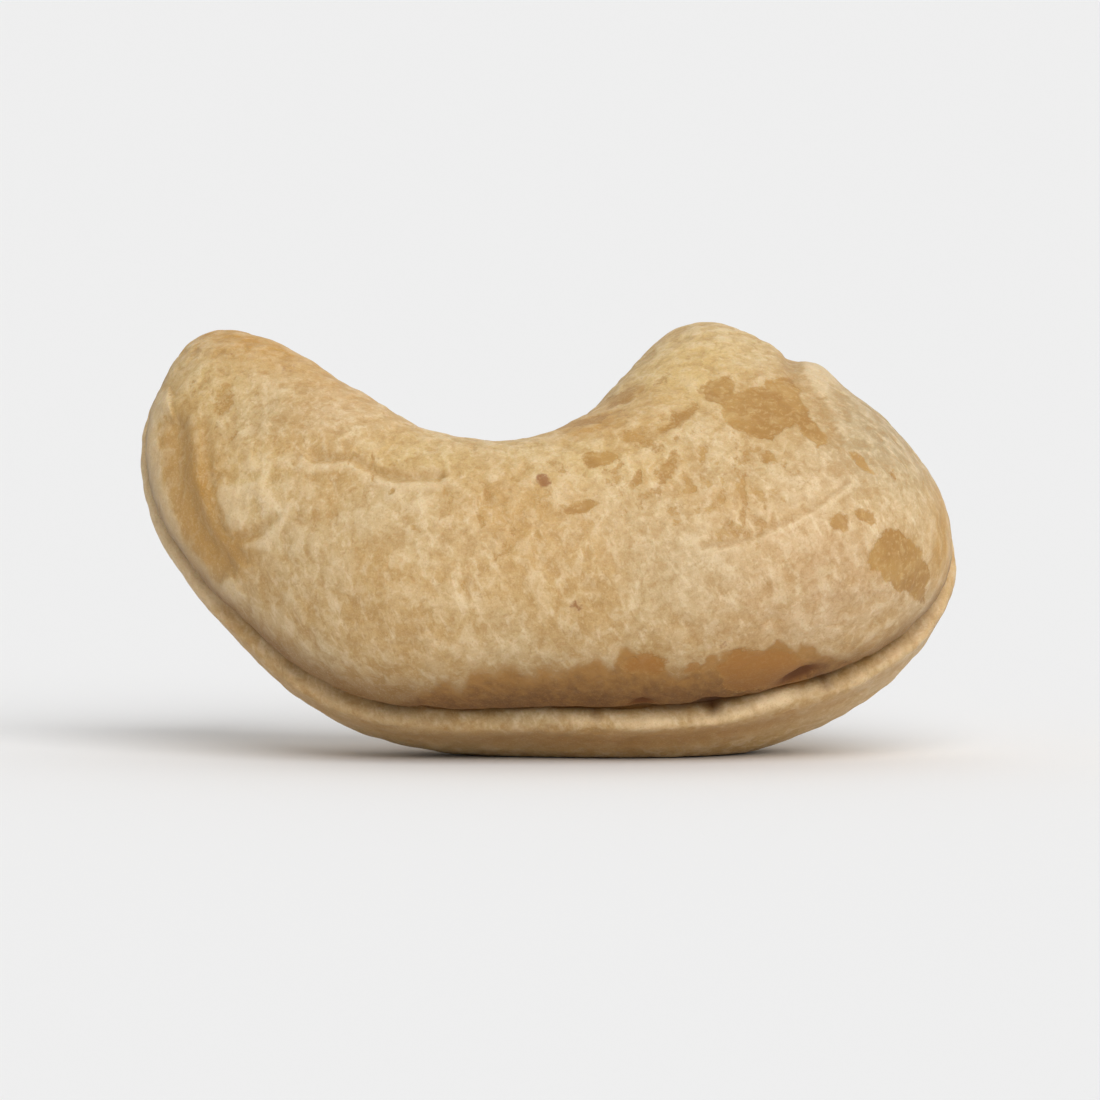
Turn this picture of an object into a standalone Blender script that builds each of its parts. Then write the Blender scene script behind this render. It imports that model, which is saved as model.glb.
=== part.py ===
"""A cashew kernel: one crescent-shaped seed of two halves grown together.

It stands on its back with both lobes up, leaning away from the front, on a small flat spot.
Front is -Y, up is +Z, and the nut is longest along X. The origin is the middle of its box, at the bottom.
Lengths here are in millimetres, and become metres only where the mesh is written.
"""
import math

import bmesh
import bpy
import numpy as np

MM = 0.001                 # metres in a millimetre

# The nut's outline in the crescent's own plane, as a ring of control points: along, then across.
# It starts at the left lobe's tip, runs along the back to the right lobe's tip, and returns by the bay.
# The points at equal distance before and after the left tip face each other across the body.
OUTLINE = [
    (-13.3, 13.1),         # left tip
    (-14.3, 7.2),          # back, left shoulder
    (-9.2, 0.3),
    (-1.6, -1.3),          # back, lowest stretch
    (8.2, -0.5),
    (14.3, 3.9),           # back, right shoulder
    (12.35, 8.85),
    (8.6, 11.6),           # right tip
    (4.0, 15.9),           # right lobe's crown
    (1.2, 10.2),
    (-1.0, 8.0),           # floor of the bay
    (-4.4, 8.4),
    (-6.2, 11.0),
    (-11.1, 14.8),         # left lobe's crown
]

# Half the thickness from cheek to cheek, at places from the left tip (-1) to the right tip (1)
HALF_THICKNESS = [(-1.0, 4.9), (-0.7, 5.2), (-0.3, 5.7), (0.1, 6.2), (0.5, 6.5), (0.8, 6.0), (1.0, 5.2)]
TIP_ROUNDNESS = 3.2        # higher keeps the thickness closer to the tips
SQUARENESS = 0.45          # how far a cross-section goes from an ellipse (0) towards a square
SQUARENESS_FADING = 4      # higher keeps the cross-sections square closer to the tips
LEAN = 35.0                # degrees that the crown leans back from upright

# The seam between the two halves, all round the outline. On the back it wanders to the front by some
# degrees round the cross-section, at places from tip to tip
SEAM_DRIFT = [(-1.0, 0.0), (-0.6, -2.5), (-0.1, 3.0), (0.4, 0.0), (1.0, 0.0)]
SEAM_HALF_WIDTH = 0.28
SEAM_DEPTH = 0.32
ROUNDING_DEPTH = 0.26          # the front half curls in to the seam
ROUNDING_REACH = 0.9
LIP_HEIGHT = 0.13              # the rear half ends in a raised lip
LIP_DISTANCE = 0.62
LIP_HALF_WIDTH = 0.50
SHARE_IN_BAY = 0.50            # how strong the relief is in the bay and at the tips

# The nick where the seam crosses the right lobe, beside the root tip: along, across, and its size
NICK_PLACE = (8.3, 12.75)
NICK_RADIUS = 0.8
NICK_DEPTH = 0.65
ROOT_TIP_PLACE = (9.1, 12.2)
ROOT_TIP_RADIUS = 0.8
ROOT_TIP_HEIGHT = 0.22

# Shallow folds that fan out from the bay over both cheeks
FOLD_HUB = (-1.6, 15.5)
FOLDS = [(-141.0, 0.10), (-113.0, 0.14), (-66.0, 0.12)]    # direction seen from the front, and depth
FOLD_HALF_ANGLE = 6.0
FOLD_START = 5.0
FOLD_REACH = 3.2

# Slow rises and hollows of the cheeks
WAVE_SEED = 23
WAVE_COUNT = 8
WAVE_LENGTHS = (7.0, 13.0)
WAVE_HEIGHT = 0.04

FLAT_SPOT_DEPTH = 0.5      # how much of the round back the flat spot takes away

# Fineness of the mesh
SEGMENTS_AROUND = 72
SEGMENTS_ALONG = 72
CROWDING_AT_SEAM = 0.24    # up to 0.5; draws the segments together towards the seam
SMOOTH_ANGLE = 50.0        # degrees

KERNEL_COLOUR = (0.62, 0.44, 0.245, 1.0)
KERNEL_ROUGHNESS = 0.6


def curve_through(pairs, where):
    """Smooth curve through (place, value) pairs, read at each place in the array where."""
    places = np.array([pair[0] for pair in pairs])
    values = np.array([pair[1] for pair in pairs])
    slopes = np.gradient(values, places)
    left = np.clip(np.searchsorted(places, where) - 1, 0, len(places) - 2)
    gap = places[left + 1] - places[left]
    t = (where - places[left]) / gap
    start = (2 * t**3 - 3 * t**2 + 1) * values[left] + (t**3 - 2 * t**2 + t) * gap * slopes[left]
    end = (3 * t**2 - 2 * t**3) * values[left + 1] + (t**3 - t**2) * gap * slopes[left + 1]
    return start + end


def outline_point(turn):
    """Point of the closed, evenly spaced cubic B-spline of OUTLINE; turn is 0 to 1, once round."""
    points = np.array(OUTLINE)
    place = (turn % 1.0) * len(points)
    index = np.floor(place).astype(int)
    t = (place - index)[:, None]
    weights = ((1 - t)**3, 3 * t**3 - 6 * t**2 + 4, -3 * t**3 + 3 * t**2 + 3 * t + 1, t**3)
    return sum(weight * points[(index + step - 1) % len(points)] for step, weight in enumerate(weights)) / 6


def station_of(half_turn):
    """Place from tip to tip, -1 at the left and 1 at the right, of a half turn round the outline."""
    return -np.cos(2 * math.pi * half_turn)


def smooth_body(half_turn, angle):
    """The plain crescent: along, across and outward from its plane.

    half_turn runs from 0 at the left tip to 0.5 at the right one. Each value of it joins a point of the
    back to the point of the bay across from it. The cross-section about that line is a rounded ellipse,
    and angle runs round it: 0 at the back, a quarter turn at the front cheek, half a turn at the bay.
    """
    nearness_to_tip = np.abs(station_of(half_turn))
    back = outline_point(half_turn)
    bay = outline_point(1.0 - half_turn)
    closing = np.sqrt(np.clip(1 - nearness_to_tip**TIP_ROUNDNESS, 0, None))
    thickness = curve_through(HALF_THICKNESS, station_of(half_turn)) * closing
    power = 2 + SQUARENESS * (1 - nearness_to_tip**SQUARENESS_FADING)
    across, outward = np.cos(angle), np.sin(angle)
    stretch = (np.abs(across)**power + np.abs(outward)**power) ** (-1 / power)
    plane = (back + bay) / 2 + (back - bay) / 2 * (across * stretch)[:, None]
    return np.column_stack([plane, thickness * outward * stretch])


def bump(distance, half_width):
    """Bell curve of height 1, falling away over half_width."""
    return np.exp(-(distance / half_width)**2)


def back_share(row):
    """1 at the back, a half at the cheeks and 0 in the bay."""
    return (1 + np.cos(row)) / 2


def seam_drift(half_turn):
    """Angle round the cross-section at which the seam runs along the back."""
    return np.radians(curve_through(SEAM_DRIFT, station_of(half_turn)))


def seam_relief(body, half_turn, row):
    """The seam groove, the front half's rounded border above it and the rear half's lip below it.

    The distance from the seam is taken straight across from cheek to cheek. The relief is strongest in
    the middle of the back, and lighter over the tips and in the bay.
    """
    seam_on_back = smooth_body(half_turn, seam_drift(half_turn))[:, 2]
    from_seam = body[:, 2] - back_share(row) * seam_on_back
    groove = SEAM_DEPTH * bump(from_seam, SEAM_HALF_WIDTH)
    in_front = np.exp(-np.clip(from_seam, 0, None) / ROUNDING_REACH)
    rounding = ROUNDING_DEPTH * in_front * bump(np.clip(from_seam, None, 0), SEAM_HALF_WIDTH)
    lip = LIP_HEIGHT * bump(from_seam + LIP_DISTANCE, LIP_HALF_WIDTH)
    strength = SHARE_IN_BAY + (1 - SHARE_IN_BAY) * back_share(row) * (1 - station_of(half_turn)**2)
    return strength * (lip - groove - rounding)


def tip_relief(body):
    """The nick in the right lobe's outline and the small bump of the root tip beside it."""
    nick = bump(np.hypot(body[:, 0] - NICK_PLACE[0], body[:, 1] - NICK_PLACE[1]), NICK_RADIUS)
    root = bump(np.hypot(body[:, 0] - ROOT_TIP_PLACE[0], body[:, 1] - ROOT_TIP_PLACE[1]), ROOT_TIP_RADIUS)
    return ROOT_TIP_HEIGHT * root - NICK_DEPTH * nick


def fold_relief(body):
    """Shallow grooves that run out from above the bay over the cheeks, each in a direction of its own."""
    along = body[:, 0] - FOLD_HUB[0]
    across = body[:, 1] - FOLD_HUB[1]
    direction = np.degrees(np.arctan2(across, along))
    distance = np.hypot(along, across)
    fading = bump(np.clip(distance - FOLD_START, 0, None), FOLD_REACH)
    return -fading * sum(depth * bump(direction - place, FOLD_HALF_ANGLE) for place, depth in FOLDS)


def wave_relief(body):
    """A few long waves in seeded directions, which keep the cheeks from being too even."""
    random = np.random.default_rng(WAVE_SEED)
    relief = np.zeros(len(body))
    for _ in range(WAVE_COUNT):
        direction = random.normal(size=3)
        direction /= np.linalg.norm(direction)
        length = random.uniform(*WAVE_LENGTHS)
        phase = random.uniform(0, 2 * math.pi)
        relief += np.cos(body @ direction * (2 * math.pi / length) + phase)
    return WAVE_HEIGHT * relief


def leaned(points):
    """Stand the crescent up on its back and lean its crown away from the front."""
    angle = math.radians(LEAN)
    along, across, outward = points.T
    depth = across * math.sin(angle) - outward * math.cos(angle)
    height = across * math.cos(angle) + outward * math.sin(angle)
    return np.column_stack([along, depth, height])


def pressed_flat(points):
    """Lift what lies below the flat spot's plane to it, and put the box's bottom middle at the origin."""
    points = points.copy()
    floor = points[:, 2].min() + FLAT_SPOT_DEPTH
    points[:, 2] = np.maximum(points[:, 2], floor)
    middle = (points.min(axis=0) + points.max(axis=0)) / 2
    return points - np.array([middle[0], middle[1], floor])


def vertex_values(mesh, name):
    """The named three-part value of every vertex, as an array."""
    return np.array([getattr(vertex, name) for vertex in mesh.verts])


def place_vertices(mesh, points):
    """Move every vertex to its row of points and bring the normals up to date."""
    for vertex, point in zip(mesh.verts, points):
        vertex.co = point
    mesh.normal_update()


def kernel_mesh():
    """A sphere whose points are moved to the crescent, then out or in along its normals by the relief."""
    mesh = bmesh.new()
    bmesh.ops.create_uvsphere(mesh, u_segments=SEGMENTS_AROUND, v_segments=SEGMENTS_ALONG, radius=1.0)
    sphere = vertex_values(mesh, "co")
    half_turn = np.arccos(np.clip(sphere[:, 2], -1, 1)) / (2 * math.pi)
    row = np.arctan2(sphere[:, 1], sphere[:, 0])
    row -= CROWDING_AT_SEAM * np.sin(2 * row)
    body = smooth_body(half_turn, row + back_share(row) * seam_drift(half_turn))
    place_vertices(mesh, body)
    bmesh.ops.recalc_face_normals(mesh, faces=mesh.faces)
    relief = seam_relief(body, half_turn, row) + tip_relief(body) + fold_relief(body) + wave_relief(body)
    raised = body + vertex_values(mesh, "normal") * relief[:, None]
    place_vertices(mesh, pressed_flat(leaned(raised)) * MM)
    bmesh.ops.recalc_face_normals(mesh, faces=mesh.faces)
    bmesh.ops.triangulate(mesh, faces=mesh.faces)
    return mesh


def kernel_material():
    """Cream seed flesh with a matt skin."""
    material = bpy.data.materials.new("kernel")
    material.use_nodes = True
    shader = material.node_tree.nodes["Principled BSDF"]
    shader.inputs["Base Color"].default_value = KERNEL_COLOUR
    shader.inputs["Roughness"].default_value = KERNEL_ROUGHNESS
    shader.inputs["Metallic"].default_value = 0.0
    return material


def build_kernel(collection):
    """Make the kernel object and put it in the collection."""
    mesh = kernel_mesh()
    data = bpy.data.meshes.new("kernel")
    mesh.to_mesh(data)
    mesh.free()
    data.shade_smooth()
    data.set_sharp_from_angle(angle=math.radians(SMOOTH_ANGLE))
    data.materials.append(kernel_material())
    collection.objects.link(bpy.data.objects.new("kernel", data))


def main():
    for old in list(bpy.data.objects):
        bpy.data.objects.remove(old)
    collection = bpy.data.collections.new("cashew_nut")
    bpy.context.scene.collection.children.link(collection)
    build_kernel(collection)


main()
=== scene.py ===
# %% [markdown]
# # A cashew kernel on a pale floor
#
# A shelled cashew is one crescent-shaped seed. It is two halves that grew together, and their seam runs
# along the back, over both tips and down the bay between the lobes. The seed's golden flesh wears a thin
# cream film, which has flaked off in small angular flecks and ends in a ragged border above the seam.
#
# The lesson goes from the large to the small: the plain crescent, the seam with its lip, folds and nicks,
# then the film and its flecks, the crack and the fine relief, and last the colours, the floor, the light and
# the camera. The shape is worked out in millimetres with numpy, and becomes metres only where it is put into
# the mesh.

import itertools
import math
from types import SimpleNamespace

import bpy
import numpy as np
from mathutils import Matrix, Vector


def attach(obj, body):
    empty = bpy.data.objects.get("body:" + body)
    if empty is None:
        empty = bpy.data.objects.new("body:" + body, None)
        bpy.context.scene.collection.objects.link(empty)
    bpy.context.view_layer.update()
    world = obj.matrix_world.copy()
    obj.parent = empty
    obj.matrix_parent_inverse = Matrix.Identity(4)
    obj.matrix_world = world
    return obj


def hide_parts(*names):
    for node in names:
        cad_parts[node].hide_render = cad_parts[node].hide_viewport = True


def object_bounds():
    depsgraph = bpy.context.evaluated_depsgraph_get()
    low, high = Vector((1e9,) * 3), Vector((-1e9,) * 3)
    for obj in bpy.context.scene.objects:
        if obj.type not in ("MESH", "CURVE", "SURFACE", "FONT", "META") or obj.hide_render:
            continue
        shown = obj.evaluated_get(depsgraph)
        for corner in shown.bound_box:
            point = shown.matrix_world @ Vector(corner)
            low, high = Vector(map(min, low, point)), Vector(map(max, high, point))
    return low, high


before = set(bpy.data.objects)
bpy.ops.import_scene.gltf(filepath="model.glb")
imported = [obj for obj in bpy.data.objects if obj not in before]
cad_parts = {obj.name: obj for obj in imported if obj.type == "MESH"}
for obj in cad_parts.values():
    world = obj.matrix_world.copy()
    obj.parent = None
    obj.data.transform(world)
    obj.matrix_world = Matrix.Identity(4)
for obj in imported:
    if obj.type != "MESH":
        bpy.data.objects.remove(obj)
MM = 0.001                      # metres in a millimetre
cad_box = [list(corner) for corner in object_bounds()]
cad_size = (np.array(cad_box[1]) - np.array(cad_box[0])) / MM
print("the packed kernel measures", cad_size.round(2), "mm")

# %% [markdown]
# ## The outline of the crescent
#
# Seen from its cheek, a cashew is a kidney-shaped outline: a long back, two rounded lobes and a short bay.
# It could be drawn with arcs, but a nut has no arcs: its curvature changes all the way. A closed B-spline
# does that with only 14 control points. Every stretch of it is a weighted mean of four neighbouring points,
# so it never has a corner.

# %% The outline
# Control points in the crescent's own plane, in millimetres: along, then across
OUTLINE = [
    (-13.3, 13.1),         # left tip
    (-14.3, 7.2),          # back, left shoulder
    (-9.2, 0.3),
    (-1.6, -1.3),          # back, lowest stretch
    (8.2, -0.5),
    (14.3, 3.9),           # back, right shoulder
    (12.35, 8.85),
    (8.6, 11.6),           # right tip
    (4.0, 15.9),           # right lobe's crown
    (1.2, 10.2),
    (-1.0, 8.0),           # floor of the bay
    (-4.4, 8.4),
    (-6.2, 11.0),
    (-11.1, 14.8),         # left lobe's crown
]


def outline_point(turn):
    """Point of the closed cubic B-spline: four neighbouring control points, weighted by cubics of the
    place between them. turn is 0 to 1, once round, starting at the left tip."""
    points = np.array(OUTLINE)
    place = (turn % 1.0) * len(points)
    index = np.floor(place).astype(int)
    t = (place - index)[:, None]
    weights = ((1 - t)**3, 3 * t**3 - 6 * t**2 + 4, -3 * t**3 + 3 * t**2 + 3 * t + 1, t**3)
    return sum(weight * points[(index + step - 1) % len(points)] for step, weight in enumerate(weights)) / 6


def curve_through(pairs, where):
    """Smooth curve through (place, value) pairs: a cubic between each two, with the slopes averaged."""
    places, values = np.array(pairs, float).T
    slopes = np.gradient(values, places)
    left = np.clip(np.searchsorted(places, where) - 1, 0, len(places) - 2)
    gap = places[left + 1] - places[left]
    t = (where - places[left]) / gap
    start = (2 * t**3 - 3 * t**2 + 1) * values[left] + (t**3 - 2 * t**2 + t) * gap * slopes[left]
    end = (3 * t**2 - 2 * t**3) * values[left + 1] + (t**3 - t**2) * gap * slopes[left + 1]
    return start + end


outline = outline_point(np.linspace(0, 1, 200))
print("the outline spans", np.ptp(outline, axis=0).round(1), "mm")

# %% [markdown]
# ## The body
#
# A kernel isn't a bent tube, because its back is far longer than its bay. So each cross-section joins a
# point of the back to the point of the bay across from it, and a rounded ellipse stands on that line. The
# two tips are where back and bay meet, and there the thickness closes like the end of an egg.

# %% The plain crescent as a function of two parameters
# Half the thickness from cheek to cheek, at places from the left tip (-1) to the right tip (1)
HALF_THICKNESS = [(-1.0, 4.9), (-0.7, 5.2), (-0.3, 5.7), (0.1, 6.2), (0.5, 6.5), (0.8, 6.0), (1.0, 5.2)]
TIP_ROUNDNESS = 3.2        # higher keeps the thickness closer to the tips
SQUARENESS = 0.45          # how far a cross-section goes from an ellipse (0) towards a square
SQUARENESS_FADING = 4      # higher keeps the cross-sections square closer to the tips


def station_of(half_turn):
    """Place from tip to tip, from -1 to 1: minus the cosine of the turn round the outline."""
    return -np.cos(2 * math.pi * half_turn)


def body_point(half_turn, angle):
    """The plain crescent: along, across and outward from its plane.

    half_turn goes from the left tip (0) to the right one (0.5). The cross-section is a superellipse, whose
    power is 2 at the tips and a little more between them. angle goes round it: 0 at the back, a quarter
    turn at the front cheek, half a turn in the bay.
    """
    nearness_to_tip = np.abs(station_of(half_turn))
    back = outline_point(half_turn)
    bay = outline_point(1.0 - half_turn)
    closing = np.sqrt(np.clip(1 - nearness_to_tip**TIP_ROUNDNESS, 0, None))
    thickness = curve_through(HALF_THICKNESS, station_of(half_turn)) * closing
    power = 2 + SQUARENESS * (1 - nearness_to_tip**SQUARENESS_FADING)
    across, outward = np.cos(angle), np.sin(angle)
    stretch = (np.abs(across)**power + np.abs(outward)**power) ** (-1 / power)
    plane = (back + bay) / 2 + (back - bay) / 2 * (across * stretch)[:, None]
    return np.column_stack([plane, thickness * outward * stretch])


# %% [markdown]
# ## The grid
#
# The surface is read on a grid: rings from tip to tip, and columns round each ring. The seam is a crack
# only a tenth of a millimetre wide, and the cheeks are smooth, so evenly spaced columns would waste most of
# the points. The columns are drawn together at the seam instead: their density is 1 with a bell on top at
# the back and a lower one in the bay, and its running sum, read backwards, gives their angles.

# %% Rings and columns
RINGS = 318
COLUMNS = 310
BACK_CROWDING = 5.0            # how much denser the columns are at the back's seam
BACK_CROWDING_REACH = 0.10     # radians
BAY_CROWDING = 2.2
BAY_CROWDING_REACH = 0.12
ANGLE_SAMPLES = 20001          # places at which the running sum is known


def bump(distance, half_width):
    """Bell curve of height 1: e to the power of minus the square of distance over half_width."""
    return np.exp(-(distance / half_width)**2)


def column_angles():
    """Angles that split the running sum of the column density into equal shares."""
    angles = np.linspace(-math.pi, math.pi, ANGLE_SAMPLES)
    from_bay = math.pi - np.abs(angles)
    density = 1 + BACK_CROWDING * bump(angles, BACK_CROWDING_REACH)
    density += BAY_CROWDING * bump(from_bay, BAY_CROWDING_REACH)
    share = np.concatenate([[0], np.cumsum((density[1:] + density[:-1]) / 2)])
    return np.interp(np.arange(COLUMNS) / COLUMNS, share / share[-1], angles)


def grid_parameters():
    """half_turn and row angle of every point: the left tip, the rings one after another, the right tip."""
    rings = 0.5 * np.arange(1, RINGS + 1) / (RINGS + 1)
    half_turn = np.concatenate([[0], np.repeat(rings, COLUMNS), [0.5]])
    row = np.concatenate([[0], np.tile(column_angles(), RINGS), [0]])
    return half_turn, row


def grid_triangles():
    """Two triangles for each cell of the grid, and a fan of them at each tip."""
    index = 1 + np.arange(RINGS * COLUMNS).reshape(RINGS, COLUMNS)
    after = np.roll(index, -1, axis=1)
    a, b, c, d = (part.ravel() for part in (index[:-1], after[:-1], after[1:], index[1:]))
    left = np.column_stack([np.zeros(COLUMNS, int), after[0], index[0]])
    right = np.column_stack([np.full(COLUMNS, RINGS * COLUMNS + 1), index[-1], after[-1]])
    return np.vstack([left, np.column_stack([a, b, c]), np.column_stack([a, c, d]), right])


half_turn, row = grid_parameters()
triangles = grid_triangles()
print(len(half_turn), "points and", len(triangles), "triangles")

# %% [markdown]
# ## Which way is out
#
# Seam, folds and flecks are raised or sunk along the surface's own normal. A point's normal is the sum of
# the cross products of its triangles, so big triangles count for more. numpy's bincount adds them up for
# all the points at once. The sign of the enclosed volume tells if the triangles face outwards.


# %% Normals
def face_crosses(points):
    """Cross product of two edges of each triangle: its normal, as long as twice its area."""
    first, second, third = (points[triangles[:, corner]] for corner in range(3))
    return np.cross(second - first, third - first)


def normals_of(points):
    """Sum of the crosses of the triangles round each point, brought to length 1."""
    crosses = np.repeat(face_crosses(points), 3, axis=0)
    total = [np.bincount(triangles.ravel(), crosses[:, axis], len(points)) for axis in range(3)]
    total = np.column_stack(total)
    return total / np.linalg.norm(total, axis=1, keepdims=True)


def volume_of(points):
    """A third of the sum, over the triangles, of corner times normal times area."""
    return np.einsum("ij,ij->", points[triangles[:, 0]], face_crosses(points)) / 6


# %% [markdown]
# ## Noise
#
# Nothing on a nut repeats, so most of its small shapes start as noise. Two kinds are enough. Lattice noise
# is smooth: every corner of a lattice of cubes gets a random number, and points between the corners take
# an eased mean of the eight round them. Cell noise is angular: one point is scattered in every cube, and
# space falls into the cells that are nearest to each. Both read their numbers from a seeded table.

# %% Lattice noise and cell noise
TABLE_SIZE = 48            # cubes before a noise repeats


def ease(share):
    """3 t squared minus 2 t cubed: from 0 to 1 with flat ends; below 0 and above 1 it stays flat."""
    share = np.clip(share, 0, 1)
    return share * share * (3 - 2 * share)


def above(values, limit, edge):
    """0 up to the limit, 1 from the limit plus the edge, eased between."""
    return ease((values - limit) / edge)


def lattice_noise(points, size, seed):
    """Smooth noise from -1 to 1, the eased mean of random numbers at the corners of cubes of that size.
    size is one number, or three where the noise is drawn out along an axis."""
    table = np.random.default_rng(seed).uniform(-1, 1, (TABLE_SIZE,) * 3)
    place = points / size
    corner = np.floor(place).astype(int)
    share = ease(place - corner)
    total = np.zeros(len(points))
    for step in itertools.product((0, 1), repeat=3):
        weight = np.prod(np.where(step, share, 1 - share), axis=1)
        total += weight * table[tuple(((corner + step) % TABLE_SIZE).T)]
    return total


def layered_noise(points, size, seed, layers=3):
    """Layers of lattice noise, each half as large and half as strong as the last, scaled to about -1 to 1."""
    shares = [0.5**layer for layer in range(layers)]
    layer_sum = sum(share * lattice_noise(points, np.multiply(size, share), seed + number)
                    for number, share in enumerate(shares))
    return layer_sum / sum(shares)


def cell_mean(points, size, seed, sharpness, value_of):
    """Mean of a value over the nearby cells, where a cell counts for e to the minus sharpness times its
    distance. So it is flat inside a cell, and crosses over smoothly at the straight border to the next.
    value_of turns each cell's random number, 0 to 1, into its value."""
    random = np.random.default_rng(seed)
    places = random.uniform(0, 1, (TABLE_SIZE,) * 3 + (3,))
    numbers = random.uniform(0, 1, (TABLE_SIZE,) * 3)
    place = points / size
    corner = np.floor(place).astype(int)
    total = np.zeros(len(points))
    weights = np.zeros(len(points))
    for step in itertools.product((-1, 0, 1), repeat=3):
        cube = corner + step
        index = tuple((cube % TABLE_SIZE).T)
        weight = np.exp(-sharpness * np.linalg.norm(place - cube - places[index], axis=1))
        total += weight * value_of(numbers[index])
        weights += weight
    return total / weights


# %% [markdown]
# ## The seam
#
# The front half curls in to the seam like the edge of a cushion, and the rear half ends in a raised lip
# that catches the light. Both are bells and a fading curve over the distance from the seam. The seam leans a
# little to the front and to the rear on its way along the back, so its angle is a curve from tip to tip.

# %% Where the seam runs
# Degrees that the seam wanders to the front round the cross-section, at places from tip to tip
SEAM_DRIFT = [(-1.0, 0.0), (-0.6, -2.5), (-0.1, 3.0), (0.4, 0.0), (1.0, 0.0)]


def back_share(row):
    """1 at the back, a half at the cheeks and 0 in the bay."""
    return (1 + np.cos(row)) / 2


def seam_drift(half_turn):
    """Angle round the cross-section at which the seam runs along the back."""
    return np.radians(curve_through(SEAM_DRIFT, station_of(half_turn)))


def distance_from_seam(body, half_turn, row):
    """How far a point is from the seam, straight across from cheek to cheek; the front is positive."""
    seam_on_back = body_point(half_turn, seam_drift(half_turn))[:, 2]
    return body[:, 2] - back_share(row) * seam_on_back


print("the seam wanders by", np.ptp([degrees for _, degrees in SEAM_DRIFT]), "degrees")

# %% The seam's shape
SEAM_HALF_WIDTH = 0.28
SEAM_DEPTH = 0.32
ROUNDING_DEPTH = 0.26          # the front half curls in to the seam
ROUNDING_REACH = 0.9
LIP_HEIGHT = 0.13              # the rear half ends in a raised lip
LIP_DISTANCE = 0.62
LIP_HALF_WIDTH = 0.50
SHARE_IN_BAY = 0.50            # how strong the relief is in the bay and at the tips


def seam_strength(half_turn, row):
    """1 in the middle of the back, less over the tips and in the bay."""
    return SHARE_IN_BAY + (1 - SHARE_IN_BAY) * back_share(row) * (1 - station_of(half_turn)**2)


def seam_relief(from_seam, strength):
    """A bell sunk at the seam, the front border sinking towards it, and a bell raised beside it."""
    groove = SEAM_DEPTH * bump(from_seam, SEAM_HALF_WIDTH)
    in_front = np.exp(-np.clip(from_seam, 0, None) / ROUNDING_REACH)
    rounding = ROUNDING_DEPTH * in_front * bump(np.clip(from_seam, None, 0), SEAM_HALF_WIDTH)
    lip = LIP_HEIGHT * bump(from_seam + LIP_DISTANCE, LIP_HALF_WIDTH)
    return strength * (lip - groove - rounding)


print("the seam's groove is", SEAM_DEPTH, "mm deep and its lip", LIP_HEIGHT, "mm high")

# %% [markdown]
# ## Nick, root tip, folds and waves
#
# Where the seam crosses the right lobe there is a nick, and beside it the small point of the root. Shallow
# folds fan out from the bay over the cheeks, and long waves keep the cheeks from being too even. The seam,
# the nick, the folds and the waves are the nut's form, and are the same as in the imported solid.

# %% Nick and root tip
NICK_PLACE = (8.3, 12.75)
NICK_RADIUS = 0.8
NICK_DEPTH = 0.65
ROOT_TIP_PLACE = (9.1, 12.2)
ROOT_TIP_RADIUS = 0.8
ROOT_TIP_HEIGHT = 0.22


def tip_relief(body):
    """A bell sunk at the nick and one raised at the root tip."""
    nick = bump(np.hypot(body[:, 0] - NICK_PLACE[0], body[:, 1] - NICK_PLACE[1]), NICK_RADIUS)
    root = bump(np.hypot(body[:, 0] - ROOT_TIP_PLACE[0], body[:, 1] - ROOT_TIP_PLACE[1]), ROOT_TIP_RADIUS)
    return ROOT_TIP_HEIGHT * root - NICK_DEPTH * nick


# %% Folds
FOLD_HUB = (-1.6, 15.5)
FOLDS = [(-141.0, 0.10), (-113.0, 0.14), (-66.0, 0.12)]    # direction seen from the front, and depth
FOLD_HALF_ANGLE = 6.0
FOLD_START = 5.0
FOLD_REACH = 3.2


def fold_relief(body):
    """Bells over the direction from a hub above the bay, fading with the distance from it."""
    along, across = body[:, 0] - FOLD_HUB[0], body[:, 1] - FOLD_HUB[1]
    direction = np.degrees(np.arctan2(across, along))
    fading = bump(np.clip(np.hypot(along, across) - FOLD_START, 0, None), FOLD_REACH)
    return -fading * sum(depth * bump(direction - place, FOLD_HALF_ANGLE) for place, depth in FOLDS)


# %% Long waves
WAVE_SEED = 23
WAVE_COUNT = 8
WAVE_LENGTHS = (7.0, 13.0)
WAVE_HEIGHT = 0.04


def wave_relief(body):
    """Sum of a few cosines in seeded directions."""
    random = np.random.default_rng(WAVE_SEED)
    relief = np.zeros(len(body))
    for _ in range(WAVE_COUNT):
        direction = random.normal(size=3)
        direction /= np.linalg.norm(direction)
        length = random.uniform(*WAVE_LENGTHS)
        phase = random.uniform(0, 2 * math.pi)
        relief += np.cos(body @ direction * (2 * math.pi / length) + phase)
    return WAVE_HEIGHT * relief


# %% The form
drifted = row + back_share(row) * seam_drift(half_turn)
body = body_point(half_turn, drifted)
in_plane = body * (1, 1, 0)        # the same straight across the nut, from cheek to cheek
if volume_of(body) < 0:
    triangles = triangles[:, ::-1]
from_seam = distance_from_seam(body, half_turn, row)
strength = seam_strength(half_turn, row)
form_relief = seam_relief(from_seam, strength) + tip_relief(body) + fold_relief(body) + wave_relief(body)
form = body + normals_of(body) * form_relief[:, None]
print("the form's relief goes from", form_relief.min().round(2), "to", form_relief.max().round(2), "mm")

# %% [markdown]
# ## Standing it up
#
# The nut lies on its back with both lobes up and leans away from the front, so that the cheek and the seam
# both show. It is turned about its length, and what would be below the flat spot's plane is pressed up to
# it. A hard cut would leave a sharp rim, so the press is soft: it follows a curve that is flat below
# the plane and straight above it. Its height and shift come from the form without the fine relief, as in the
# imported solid, so the two stay in the same place.

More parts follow.
